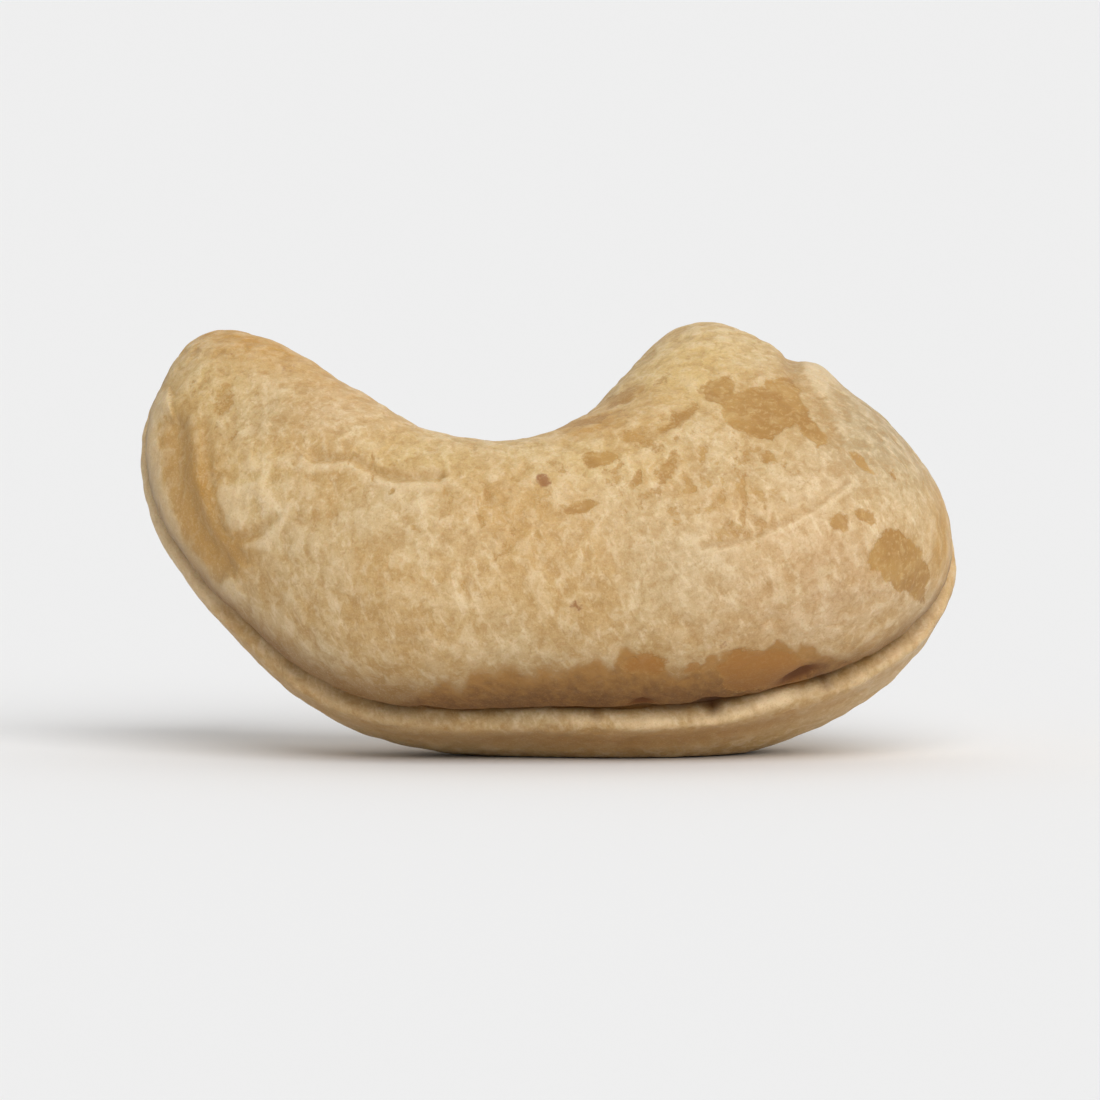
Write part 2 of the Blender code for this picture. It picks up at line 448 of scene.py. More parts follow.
# %% Lean and flat spot
LEAN = 35.0                # degrees that the crown leans back from upright
FLAT_SPOT_DEPTH = 0.5      # how much of the round back the flat spot takes away
FLAT_SPOT_SOFTNESS = 0.03
VIEW_ELEVATION = 4.0       # degrees that the camera looks down
FRONT_END = 0.10           # the normal's depth, -1 at the front and 1 at the back, where the front ends
FRONT_FADE = 0.30


def leaned(points):
    """Turn about the length: across and outward become depth and height."""
    angle = math.radians(LEAN)
    along, across, outward = points.T
    depth = across * math.sin(angle) - outward * math.cos(angle)
    height = across * math.cos(angle) + outward * math.sin(angle)
    return np.column_stack([along, depth, height])


def flat_spot_shift():
    """The form's middle, and the height of the flat spot: what the standing nut is moved by."""
    points = leaned(form)
    floor = points[:, 2].min() + FLAT_SPOT_DEPTH
    points[:, 2] = np.maximum(points[:, 2], floor)
    middle = (points.min(axis=0) + points.max(axis=0)) / 2
    return np.array([middle[0], middle[1], floor])


def pressed_flat(points):
    """Height becomes softness times the logarithm of 1 plus e to the power of height over softness."""
    height = points[:, 2] / FLAT_SPOT_SOFTNESS
    points[:, 2] = FLAT_SPOT_SOFTNESS * np.logaddexp(0, height)
    return points


def front_view(points):
    """Place in the picture: across it, and up it from where the nut stands."""
    elevation = math.radians(VIEW_ELEVATION)
    up = points[:, 2] * math.cos(elevation) + points[:, 1] * math.sin(elevation)
    return np.column_stack([points[:, 0], up])


shift = flat_spot_shift()
standing = leaned(form) - shift
normals = normals_of(form)
facing = leaned(normals)
seen = front_view(standing)
faces_away = above(facing[:, 1], FRONT_END, FRONT_FADE)
faces_front = 1 - faces_away
print("the standing form is", np.ptp(standing[standing[:, 2] >= 0], axis=0).round(2), "mm")

# %% [markdown]
# ## The nut laid straight
#
# Long striations follow the curve of the kernel. The easy way to make a pattern follow a curve is to undo
# the bend: here every point gets a second place, in a straight nut, with the distance along the middle
# line as its first number. Noise that is drawn out along that first number runs along the crescent.

# %% Straight coordinates
MIDDLE_LINE_SAMPLES = 400
LEAST_WIDTH = 1e-6             # keeps the division below from failing at the tips


def straight_coordinates(body, half_turn):
    """Length of the middle line up to the cross-section, and the place in the cross-section."""
    turns = np.linspace(0, 0.5, MIDDLE_LINE_SAMPLES)
    middle = (outline_point(turns) + outline_point(1 - turns)) / 2
    length = np.concatenate([[0], np.cumsum(np.linalg.norm(np.diff(middle, axis=0), axis=1))])
    back, bay = outline_point(half_turn), outline_point(1 - half_turn)
    width = np.linalg.norm(back - bay, axis=1)
    across = np.einsum("ij,ij->i", body[:, :2] - (back + bay) / 2, back - bay)
    across /= np.maximum(width, LEAST_WIDTH)
    return np.column_stack([np.interp(half_turn, turns, length), across, body[:, 2]])


straight = straight_coordinates(body, half_turn)
print("the middle line is", np.ptp(straight[:, 0]).round(1), "mm long")

# %% [markdown]
# ## Where the film has gone
#
# The cream film is missing in several ways. A few plates came off whole, with straight sides and corners,
# like chips of paint. Between them lie short strokes, and in loose groups the film has tiny gaps. A plate
# is a convex outline here, because the depth inside one is just the least distance to its sides. A stroke
# is an ellipse, and a little noise frays its border. The tiny gaps are cell noise: a cell is a gap where
# its random number is below the chance at that place. On the far side, which the camera doesn't see, all
# of them come from noise, so the nut is finished there in the same way.

# %% Borders frayed by noise
FRAY_SIZES = (0.9, 0.32)       # lengths of the bends in the borders
FRAY = (0.13, 0.12)            # and how far they go
FRAY_SEEDS = (45, 47)


def frayed(places):
    """The places moved sideways by noise, so that outlines drawn on them get a ragged border."""
    moved = places.copy()
    for size, reach, seed in zip(FRAY_SIZES, FRAY, FRAY_SEEDS):
        moved[:, 0] += reach * lattice_noise(standing, size, seed)
        moved[:, 1] += reach * lattice_noise(standing, size, seed + 1)
    return moved


def percent_of_points(field, limit=0.5):
    """How many of a hundred points have a value above the limit."""
    return round(100 * float((field > limit).mean()))


places = frayed(seen)
print("the borders bend by up to", np.abs(places - seen).max().round(2), "mm")

# %% Plates
# Corners of the plates in the picture, clockwise: across and up
PLATES = [
    [(11.0, 7.5), (11.6, 7.4), (12.3, 6.7), (12.55, 5.9),
     (12.4, 5.0), (11.55, 5.35), (10.45, 6.3), (10.5, 6.75)],
    [(4.95, 11.85), (5.3, 12.55), (6.0, 12.5), (6.15, 11.85), (5.55, 11.5)],
    [(5.65, 11.6), (6.6, 12.1), (7.5, 12.25), (8.2, 11.85),
     (8.45, 11.25), (7.35, 10.4), (6.95, 10.4), (5.8, 11.0)],
    [(8.2, 11.75), (8.7, 11.15), (9.15, 10.45), (8.8, 10.15), (8.35, 10.45), (8.1, 11.15)],
    [(6.95, 11.9), (7.2, 12.4), (7.85, 12.5), (8.25, 12.0), (8.1, 11.5)],
]
PLATE_EDGE = 0.20              # width over which the film thins out at a plate's border


def plate_marks(places, plates, edge):
    """1 inside the outlines and 0 outside, easing over the edge. The depth inside a convex outline is the
    least distance to the lines along its sides, counted positive on their right."""
    deepest = np.full(len(places), -np.inf)
    for plate in plates:
        corners = np.array(plate)
        depth = np.full(len(places), np.inf)
        for start, end in zip(corners, np.roll(corners, -1, axis=0)):
            run = (end - start) / np.linalg.norm(end - start)
            offset = places - start
            depth = np.minimum(depth, offset[:, 0] * run[1] - offset[:, 1] * run[0])
        deepest = np.maximum(deepest, depth)
    return ease(deepest / edge + 0.5)


plates = faces_front * plate_marks(places, PLATES, PLATE_EDGE)
print(len(PLATES), "plates cover", percent_of_points(plates), "per cent of the points")

# %% Strokes and specks of seed coat
# Across and up the picture, half length, half width, degrees turned, and how bare it is
STROKES = [
    (2.5, 11.95, 0.65, 0.17, 30, 0.75),
    (4.3, 11.15, 0.70, 0.20, 33, 0.85),
    (2.9, 10.5, 0.65, 0.16, -15, 0.70),
    (1.64, 9.82, 0.50, 0.24, 10, 0.95),
    (3.85, 9.45, 0.62, 0.19, 60, 0.75),
    (2.8, 9.15, 0.24, 0.15, 80, 0.95),
    (4.55, 8.8, 0.22, 0.13, 0, 0.80),
    (6.4, 9.87, 0.28, 0.14, 80, 0.80),
    (7.2, 9.75, 0.25, 0.20, 0, 0.80),
    (6.45, 8.7, 0.55, 0.13, 88, 0.80),
    (6.35, 7.9, 0.25, 0.12, 90, 0.85),
    (5.65, 8.6, 0.30, 0.22, 70, 0.65),
    (0.94, 8.24, 0.55, 0.19, 8, 0.95),
    (10.3, 9.7, 0.45, 0.15, -45, 0.80),
    (11.3, 9.2, 0.22, 0.12, -70, 0.70),
    (9.64, 7.68, 0.28, 0.24, 70, 0.90),
    (10.43, 7.93, 0.36, 0.18, -35, 0.90),
    (5.0, 9.9, 0.35, 0.13, 75, 0.70),
    (5.25, 8.2, 0.30, 0.12, 65, 0.65),
    (7.0, 8.6, 0.32, 0.11, -60, 0.60),
    (4.3, 8.2, 0.26, 0.10, 40, 0.55),
    (3.3, 8.7, 0.24, 0.12, 70, 0.60),
    (2.1, 9.1, 0.30, 0.12, 20, 0.55),
    (0.3, 9.5, 0.34, 0.13, -15, 0.55),
    (-0.5, 8.4, 0.38, 0.26, 0, 0.50),
    (-1.6, 7.1, 0.34, 0.14, -35, 0.50),
    (8.2, 9.3, 0.30, 0.12, -50, 0.50),
    (1.1, 11.0, 1.3, 0.16, 14, 0.75),
    (3.6, 12.4, 0.45, 0.14, 35, 0.55),
    (-10.8, 11.75, 0.55, 0.33, 75, 0.60),
    (-11.5, 12.2, 0.30, 0.20, 0, 0.50),
    (-9.0, 11.2, 0.42, 0.14, 5, 0.45),
    (-4.4, 7.5, 0.32, 0.13, -40, 0.50),
]
# Specks of the brown seed coat that stayed on
COAT_SPECKS = [
    (-0.24, 9.12, 0.26, 0.17, 0, 1.0),
    (0.8, 4.88, 0.24, 0.14, -20, 0.9),
    (3.0, 4.25, 0.13, 0.13, 0, 0.6),
    (5.72, 3.64, 0.13, 0.20, 0, 0.6),
    (-3.3, 7.5, 0.18, 0.11, 0, 0.5),
    (-2.7, 7.5, 0.12, 0.10, 0, 0.5),
    (-1.9, 7.9, 0.20, 0.12, 10, 0.5),
    (-8.6, 12.8, 0.30, 0.11, 0, 0.5),
    (-10.7, 13.4, 0.25, 0.10, 0, 0.5),
    (9.56, 5.27, 0.16, 0.12, 0, 0.5),
]
MARK_CORE = 0.7                # a stroke is at full strength up to this share of its ellipse
MARK_END = 1.6                 # and has faded out at this one


def offset_in_ellipse(places, across, up, half_length, half_width, turned):
    """Distance from the middle of a turned ellipse, where 1 is on its border."""
    angle = math.radians(turned)
    offset = places - (across, up)
    along = (offset[:, 0] * math.cos(angle) + offset[:, 1] * math.sin(angle)) / half_length
    over = (offset[:, 1] * math.cos(angle) - offset[:, 0] * math.sin(angle)) / half_width
    return np.hypot(along, over)


def firm_marks(places, marks):
    """The strongest mark at each place: its strength inside its ellipse, easing to 0 just outside it."""
    fading = MARK_END - MARK_CORE
    shares = [ease((MARK_END - offset_in_ellipse(places, *mark[:5])) / fading) for mark in marks]
    return np.max([mark[5] * share for mark, share in zip(marks, shares)], axis=0)


strokes = faces_front * firm_marks(places, STROKES)
coat_specks = faces_front * firm_marks(places, COAT_SPECKS)
print(len(STROKES), "strokes and", len(COAT_SPECKS), "specks of seed coat")

# %% The same on the far side
# Noise above a limit is a mark there: size, limit, edge and how bare it is
FAR_PLATES = (2.4, 0.52, 0.10, 0.9)
FAR_STROKES = ((1.3, 0.45, 0.45), 0.66, 0.15, 0.8)
FAR_COAT_SPECKS = ((0.5, 0.3, 0.3), 0.86, 0.06, 1.0)


def far_marks(noise, limit, edge, bareness):
    """Marks of the far side, where the noise is above its limit."""
    return faces_away * bareness * above(noise, limit, edge)


far_plates = far_marks(layered_noise(standing, FAR_PLATES[0], seed=37), *FAR_PLATES[1:])
far_strokes = far_marks(lattice_noise(straight, FAR_STROKES[0], seed=39), *FAR_STROKES[1:])
coat_specks += far_marks(lattice_noise(standing, FAR_COAT_SPECKS[0], seed=49), *FAR_COAT_SPECKS[1:])
far_cover = percent_of_points(np.maximum(far_plates, far_strokes))
print("plates and strokes of the far side cover", far_cover, "per cent of the points")

# %% [markdown]
# ## Tiny gaps in the film
#
# Between the strokes the film is speckled. The chance of a gap is high in a few loose groups and almost
# nothing between them. The cells are a quarter of a millimetre wide and drawn out upwards, as the gaps are.

# %% Groups of gaps
GROUPS = [
    # across and up the picture, half length, half width, degrees turned, and chance of a gap
    (4.6, 9.1, 3.0, 1.3, 5, 0.42),
    (6.3, 8.6, 1.3, 1.5, 0, 0.44),
    (3.6, 9.6, 1.1, 0.9, 0, 0.44),
    (-0.8, 7.8, 2.2, 1.4, -20, 0.30),
    (-2.8, 6.6, 1.8, 1.2, -30, 0.24),
    (-10.8, 11.8, 1.4, 1.6, 0, 0.22),
    (-5.0, 9.0, 2.2, 0.9, -12, 0.26),
    (11.6, 9.3, 1.2, 1.0, -40, 0.18),
    (5.0, 11.4, 2.8, 0.9, 20, 0.26),
]
COMMON_CHANCE = 0.06           # everywhere else
FAR_CHANCE = 0.36              # in a group of the far side
FAR_GROUP_SIZE = 3.4           # on the far side, noise above a limit is a group
FAR_GROUP_LIMIT = 0.05
FAR_GROUP_EDGE = 0.7
CELL = (0.24, 0.28, 0.42)      # size of the cells
CELL_SHARPNESS = 11.0
GAP_EDGE = 0.30                # how far below the chance a cell's number makes it fully bare
GAP_START = 0.25               # how bare it is where the two are the same, before easing
GAP_BARENESS = 0.62            # how bare the barest gap is


def gap_cells(chance):
    """Cell noise in which a cell is a gap where its random number is below the chance, more so the further
    it is below, and else 0."""
    return cell_mean(standing, np.array(CELL), seed=43, sharpness=CELL_SHARPNESS,
                     value_of=lambda number: ease((chance - number) / GAP_EDGE + GAP_START))


groups = np.maximum(faces_front * firm_marks(seen, GROUPS), COMMON_CHANCE)
far_noise = lattice_noise(standing, FAR_GROUP_SIZE, seed=31)
far_groups = far_marks(far_noise, FAR_GROUP_LIMIT, FAR_GROUP_EDGE, FAR_CHANCE)
gaps = GAP_BARENESS * gap_cells(np.maximum(groups, far_groups))
flecks = np.maximum.reduce([plates, strokes, far_plates, far_strokes, gaps])
print("bare flecks cover", percent_of_points(flecks), "per cent of the points")

# %% [markdown]
# ## The bare band above the seam
#
# On the front, between the middle and the right lobe, the film ends above the seam in a ragged border with
# fringes like small drips, and the flesh below it is brown, darker towards the seam with painted shade.
# To both sides of there the film runs on to the seam and only gets browner and darker, which is browning
# and painted shade where the surface curls under. So the border's height is a curve along the nut, and the
# fringes are a fine lattice noise drawn out across it. On the left the film thins out slowly, and on the
# right it ends sharply, so the border's edge is a curve as well. The lip has a pale rim, cream film with a
# painted highlight, and below it is browner with painted shade.

# %% The film's border
# Height of the border over the seam, at places along the nut
BORDER = [(-13.5, 0.2), (-6.0, 0.4), (-3.0, 2.6), (0.0, 3.1), (6.0, 3.1), (8.4, 2.5), (9.6, 0.8), (13.5, 0.2)]
# Over what height the film fades out, at places along the nut
BORDER_EDGE = [(-13.5, 1.4), (-4.0, 1.7), (0.0, 1.5), (3.0, 0.8), (6.0, 0.6), (9.0, 0.6), (13.5, 0.6)]
BORDER_WAVE = 0.45             # how far the border swings up and down
BORDER_WAVE_LENGTH = 1.9
FRINGE_LENGTHS = (0.75, 0.35)  # large fringes and small ones
FRINGE_SPACINGS = ((0.55, 0.55, 3.0), (0.22, 0.22, 2.0))
FRINGE_GAIN = 0.9              # higher sets the fringes off more
FRINGE_FILL = 0.4              # higher makes them broader
REAR_BAND_SHARE = 0.03         # the rear half's band is narrower
BACK_START = 0.25              # share of the back at which the band begins
BACK_FADE = 0.3


def bare_band(from_seam, body):
    """1 below the film's border and 0 above it, where the border is a height plus waves and fringes."""
    border = curve_through(BORDER, body[:, 0])
    ragged = BORDER_WAVE * lattice_noise(in_plane, BORDER_WAVE_LENGTH, seed=53)
    for number, (length, spacing) in enumerate(zip(FRINGE_LENGTHS, FRINGE_SPACINGS)):
        fringes = lattice_noise(body, np.array(spacing), seed=51 + 4 * number)
        ragged -= length * ease(FRINGE_GAIN * fringes + FRINGE_FILL)
    height = border + ragged * ease(border)
    reach = np.where(from_seam > 0, from_seam, -from_seam / REAR_BAND_SHARE)
    return ease((height - reach) / curve_through(BORDER_EDGE, body[:, 0]) + 0.5)


on_back = above(back_share(row), BACK_START, BACK_FADE)
band = bare_band(from_seam, body) * on_back
print("the band covers", percent_of_points(band), "per cent of the points")

# %% Plates in the band
# Corners of the plates in the picture, clockwise: across and up
BAND_PLATES = [
    [(5.4, 2.9), (6.1, 3.45), (6.95, 3.6), (7.8, 3.5), (8.5, 3.15), (8.75, 2.7), (8.3, 2.2), (5.9, 2.1)],
    [(2.35, 3.0), (2.6, 3.4), (3.3, 3.5), (3.8, 3.2), (3.75, 2.7), (2.5, 2.6)],
    [(4.35, 2.8), (4.6, 3.2), (4.95, 3.1), (5.0, 2.75)],
]
BAND_PLATE_EDGE = 0.50
BAND_BARENESS = 0.8            # the band's step down, as a share of the film's thickness

band_plates = faces_front * plate_marks(places, BAND_PLATES, BAND_PLATE_EDGE)
flecks = np.maximum(flecks, band_plates)
bare = np.maximum(flecks, BAND_BARENESS * band)
print("the film is gone from", percent_of_points(bare), "per cent of the points")

# %% Browning with painted shade, and the lip's painted highlight and shade
# How far the browning and its painted shade reach from the seam, at places along the nut
BROWNING_AND_SHADE_REACH = [(-13.5, 1.0), (-5.0, 2.5), (0.0, 3.1), (7.0, 2.3), (10.0, 1.7), (13.5, 1.0)]
REAR_BROWNING_AND_SHADE = 0.14
# How pale the lip is, or how brown where negative, which is painted shade, at places along the nut
LIP_SHADE_TINT = [(-13.5, -0.2), (-4.0, -0.8), (3.0, -1.0), (6.0, -0.9), (9.0, -0.5), (11.5, -0.2), (13.5, 0.0)]
LIP_SHADE_DISTANCE = 1.25
LIP_SHADE_HALF_WIDTH = 0.90

# The browning is painted shade as well, darkest at the seam, where the surface curls under.
in_front = np.clip(from_seam, 0, None) / curve_through(BROWNING_AND_SHADE_REACH, body[:, 0])
browning_and_shade = on_back * bump(in_front, 1.0) * bump(np.clip(from_seam, None, 0), REAR_BROWNING_AND_SHADE)
lip_highlight_and_shade = curve_through(LIP_SHADE_TINT, body[:, 0]) * bump(from_seam + LIP_SHADE_DISTANCE, LIP_SHADE_HALF_WIDTH)
print("the browning covers", percent_of_points(browning_and_shade), "per cent of the points")

# %% [markdown]
# ## Toasted and pale places
#
# The nut isn't one colour under its specks either. It is more golden where it was toasted, on the left
# lobe's rim and outer side and round the bare plates. It is yellower round the bay, rosier on the right
# cheek and greyer on the right shoulder. These are large soft marks, and on the far side slow noise takes
# their place.

# %% Golden, yellow, rosy and greyish places
GOLDEN_PLACES = [
    # across and up the picture, half length, half width, degrees turned, and strength
    (-9.3, 13.9, 3.0, 1.1, -14, 1.3),
    (-11.7, 8.4, 0.9, 2.7, 8, 1.15),
    (-10.9, 6.8, 1.5, 0.9, -30, 1.2),
    (-7.6, 12.6, 1.5, 0.5, -32, 0.8),
    (7.0, 11.5, 2.6, 1.3, -8, 0.45),
    (3.2, 11.3, 2.4, 0.9, 25, 0.4),
    (12.95, 6.9, 0.5, 2.2, 0, 0.9),
    (10.6, 3.6, 1.5, 0.9, 35, 0.6),
    (-0.9, 8.1, 2.6, 1.7, -8, 0.45),
    (1.4, 10.9, 1.7, 0.45, 12, 1.0),
]
YELLOW_PLACES = [
    (-11.6, 12.2, 1.8, 1.7, 0, 0.5),
    (4.4, 12.8, 2.4, 1.5, 20, 0.9),
    (0.8, 9.9, 3.0, 1.0, 0, 0.5),
    (-4.2, 9.9, 2.6, 0.8, -10, 0.5),
    (-9.9, 9.3, 1.2, 1.2, 0, 0.4),
]
ROSY_PLACES = [
    (9.0, 5.6, 4.4, 2.6, 5, 0.9),
    (9.6, 9.3, 2.4, 1.2, 25, 0.5),
    (-6.8, 11.3, 1.6, 1.2, -30, 0.5),
]
GREYISH_PLACES = [
    (10.7, 10.9, 2.6, 1.9, -40, 1.1),
    (8.0, 12.95, 0.4, 0.3, 0, 0.9),
    (4.4, 6.2, 2.2, 1.3, 0, 0.35),
    (-3.0, 9.8, 1.8, 0.6, -15, 0.3),
    (-9.3, 11.4, 1.2, 0.8, 0, 0.3),
]
FAR_TINT_SIZE = 4.5
FAR_TINT_EDGE = 0.5            # the noise at which a tint of the far side has its full strength
FAR_GOLDEN = 0.5
FAR_GREYISH = 0.4
FAR_YELLOW = 0.4
FAR_ROSY = 0.7


def soft_marks(places, marks):
    """The strongest mark at each place, each a bell of its strength over its ellipse."""
    shares = [bump(offset_in_ellipse(places, *mark[:5]), 1.0) for mark in marks]
    return np.max([mark[5] * share for mark, share in zip(marks, shares)], axis=0)


def tint(marks, far_noise, far_strength):
    """Bells over the marks on the front, and slow noise above 0 on the far side."""
    return faces_front * soft_marks(seen, marks) + far_marks(far_noise, 0, FAR_TINT_EDGE, far_strength)


warm_noise, yellow_noise, rosy_noise = (lattice_noise(standing, FAR_TINT_SIZE, seed) for seed in (57, 59, 63))
golden = tint(GOLDEN_PLACES, warm_noise, FAR_GOLDEN)
greyish = tint(GREYISH_PLACES, -warm_noise, FAR_GREYISH)
yellow = tint(YELLOW_PLACES, yellow_noise, FAR_YELLOW)
rosy = tint(ROSY_PLACES, rosy_noise, FAR_ROSY)
for name, field in (("golden", golden), ("yellow", yellow), ("rosy", rosy), ("greyish", greyish)):
    print("the", name, "tint covers", percent_of_points(field, 0.3), "per cent of the points")


# %% [markdown]
# ## The crack and the lip's rim
#
# Inside the seam's groove is the crack itself. It is narrow and deep, it wanders, it is more open in some
# stretches than in others, and it widens into small holes where crumbs of the border are gone. Just behind
# it the lip has a thin, crumbly rim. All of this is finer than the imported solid's triangles, so it is made
# here alone, out of bells over the distance from the wandering crack.

# %% The crack
WANDER_SIZES = (2.6, 0.8)      # lengths of the crack's bends
WANDER = (0.10, 0.05)          # and how far they go
CRACK_HALF_WIDTH = 0.12
CRACK_DEPTH = 0.36
# How open the crack is, at places along the nut
CRACK_OPENNESS = [(-13.5, 0.2), (-9.0, 0.35), (-5.0, 0.8), (0.0, 0.9), (5.0, 0.7), (9.0, 0.9), (13.5, 0.4)]
CRACK_STRETCHES = 1.4          # length of its wider and narrower stretches
CRACK_MEAN = 0.6
CRACK_VARIATION = 0.4          # how much the stretches differ


def crack_wander(in_plane):
    """Sideways bends of the crack: two layers of lattice noise, the same straight across the seam."""
    return sum(reach * lattice_noise(in_plane, size, seed=11 + number)
               for number, (size, reach) in enumerate(zip(WANDER_SIZES, WANDER)))


def crack_openness(in_plane):
    """How open the crack is: a curve along the nut times a mean that noise varies."""
    variation = CRACK_VARIATION * lattice_noise(in_plane, CRACK_STRETCHES, seed=13)
    return curve_through(CRACK_OPENNESS, in_plane[:, 0]) * (CRACK_MEAN + variation)


from_crack = from_seam + crack_wander(in_plane)
crack = bump(from_crack, CRACK_HALF_WIDTH) * strength * crack_openness(in_plane)
print("the crack is up to", round(CRACK_DEPTH * crack.max(), 2), "mm deep")

# %% Holes beside the crack
# Along, distance in front of the crack (behind it, where negative), half length, half width, degrees
# turned, and depth
CRUMB_HOLES = [
    (2.75, 0.62, 0.32, 0.30, 0, 0.26),
    (4.95, 0.42, 0.32, 0.24, 0, 0.20),
    (7.95, 0.85, 0.66, 0.28, 26, 0.28),
    (-4.3, 0.35, 0.40, 0.18, 0, 0.12),
    (5.15, -0.07, 0.24, 0.15, 0, 0.13),
    (1.2, -0.16, 0.16, 0.16, 0, 0.06),
    (8.9, -0.18, 0.22, 0.18, 0, 0.07),
]
HOLES_START = 0.5              # share of the back at which holes may begin
HOLES_FADE = 0.25


def crumb_holes(from_crack):
    """Bells sunk at the places where a crumb of the seam's border is gone."""
    beside_crack = np.column_stack([body[:, 0], from_crack])
    return soft_marks(beside_crack, CRUMB_HOLES) * above(back_share(row), HOLES_START, HOLES_FADE)


holes = crumb_holes(from_crack)
print(len(CRUMB_HOLES), "holes, up to", holes.max().round(2), "mm deep")

# %% The lip's rim
RIM_HEIGHT = 0.144
RIM_DISTANCE = 0.34
RIM_HALF_WIDTH = 0.16
RIM_STRETCHES = 0.8            # length of its higher and lower stretches
RIM_CRUMBS = 0.3               # and of the crumbs in it
RIM_MEAN = 0.75
RIM_VARIATION = 0.4            # how much the stretches differ
RIM_CRUMBLING = 0.35           # and the crumbs
# How pale the rim is, cream film with a painted highlight, at places along the nut
RIM_CREAM_AND_HIGHLIGHT = [(-13.5, 0.0), (-5.0, 0.1), (-1.0, 0.5), (2.0, 0.9), (6.0, 1.1), (10.0, 0.8), (13.5, 0.2)]


def lip_rim(in_plane, from_crack):
    """A bell just behind the crack, made uneven by two noises along the seam."""
    rim = bump(from_crack + RIM_DISTANCE, RIM_HALF_WIDTH)
    rim *= RIM_MEAN + RIM_VARIATION * lattice_noise(in_plane, RIM_STRETCHES, seed=15)
    return rim * (1 + RIM_CRUMBLING * lattice_noise(in_plane, RIM_CRUMBS, seed=17))


rim = lip_rim(in_plane, from_crack)
# The lip's colour: a painted highlight on the cream rim, and painted shade below it.
lip_highlight_and_shade = (lip_highlight_and_shade + curve_through(RIM_CREAM_AND_HIGHLIGHT, body[:, 0]) * rim) * on_back
print("the rim is up to", round(RIM_HEIGHT * rim.max(), 2), "mm high")

# %% [markdown]
# ## Fine relief
#
# Last comes what a fingertip would feel: grain and pits, striations along the crescent, old creases,
# puckered patches, a notch on the right shoulder, and the step down from the film to the flesh. Each is a
# small depth times a mask. Their sum, with the crack, the holes and the rim, moves the points along the
# form's normals.

# %% Grain, pits, dents and striations
GRAIN_SIZE = (0.40, 0.40, 0.52)
GRAIN_HEIGHT = 0.055
GRAIN_SHARPNESS = 9.0          # higher gives flatter grains with steeper sides
GRAIN_LOSS = 0.6               # how much weaker the grain is where the film is gone
PIT_SIZE = (0.42, 0.42, 0.55)
PIT_DEPTH = 0.035
PIT_LIMIT = 0.30               # noise above this is a pit
PIT_EDGE = 0.35
DENT_SIZE = 1.7                # dents are slow ups and downs all over
DENT_HEIGHT = 0.055
STRIATION_SIZE = (6.0, 0.62, 0.62)
STRIATION_HEIGHT = 0.025
STRIATION_LOSS = 0.55          # how much weaker they are on the front

grains = cell_mean(standing, np.array(GRAIN_SIZE), seed=93, sharpness=GRAIN_SHARPNESS,
                   value_of=lambda number: number - 0.5)
pits = above(layered_noise(standing, np.array(PIT_SIZE), seed=71, layers=2), PIT_LIMIT, PIT_EDGE)
dents = layered_noise(standing, DENT_SIZE, seed=83, layers=2)
striations = lattice_noise(straight, np.array(STRIATION_SIZE), seed=81)
print("pits cover", percent_of_points(pits), "per cent of the points")

# %% Creases
CREASES = [
    # the points of each crease in the picture, half width and depth
    ([(5.0, 6.9), (6.3, 7.15), (7.9, 7.75), (8.9, 8.35), (9.8, 9.0)], 0.10, 0.08),
    ([(-7.8, 9.85), (-6.6, 9.8), (-5.8, 9.35), (-5.1, 9.15), (-3.7, 9.2)], 0.15, 0.13),
    ([(-12.5, 10.8), (-12.3, 9.0), (-11.7, 7.5), (-10.8, 6.3)], 0.42, 0.22),
    ([(-11.5, 11.0), (-11.3, 9.2), (-10.9, 7.6), (-10.1, 6.6)], 0.18, 0.06),
    ([(-10.2, 7.2), (-9.6, 7.4), (-9.1, 7.9)], 0.16, 0.08),
    ([(9.4, 10.4), (8.8, 11.8), (8.4, 12.3)], 0.20, 0.05),
]
CREASE_WOBBLE = 0.10
CREASE_WOBBLE_LENGTH = 1.6
CREASE_REACH = 6               # half widths away from a crease, where it ends
CREASE_RIDGE = 0.45            # the ridge on a crease's right, as a share of its depth


def distance_from_line(places, points):
    """Distance to the nearest stretch of a line through the points, positive on the left of its way."""
    nearest = np.full(len(places), np.inf)
    for start, end in zip(np.array(points[:-1]), np.array(points[1:])):
        run = end - start
        share = np.clip((places - start) @ run / (run @ run), 0, 1)
        offset = places - start - share[:, None] * run
        side = np.where(run[0] * offset[:, 1] < run[1] * offset[:, 0], -1, 1)
        gap = side * np.linalg.norm(offset, axis=1)
        nearest = np.where(np.abs(gap) < np.abs(nearest), gap, nearest)
    return nearest


def crease_relief():
    """A bell sunk along each line, with a lower one raised beside it."""
    relief = np.zeros(len(seen))
    wobble = CREASE_WOBBLE * lattice_noise(standing, CREASE_WOBBLE_LENGTH, seed=61)
    for points, half_width, depth in CREASES:
        distance = distance_from_line(seen, points)
        nearby = np.abs(distance) < CREASE_REACH * half_width
        groove = bump(distance + wobble, half_width)
        ridge = CREASE_RIDGE * bump(distance + wobble + 2 * half_width, half_width)
        relief += depth * (ridge - groove) * nearby
    return relief * faces_front


creases = crease_relief()
print(len(CREASES), "creases, up to", -creases.min().round(2), "mm deep")

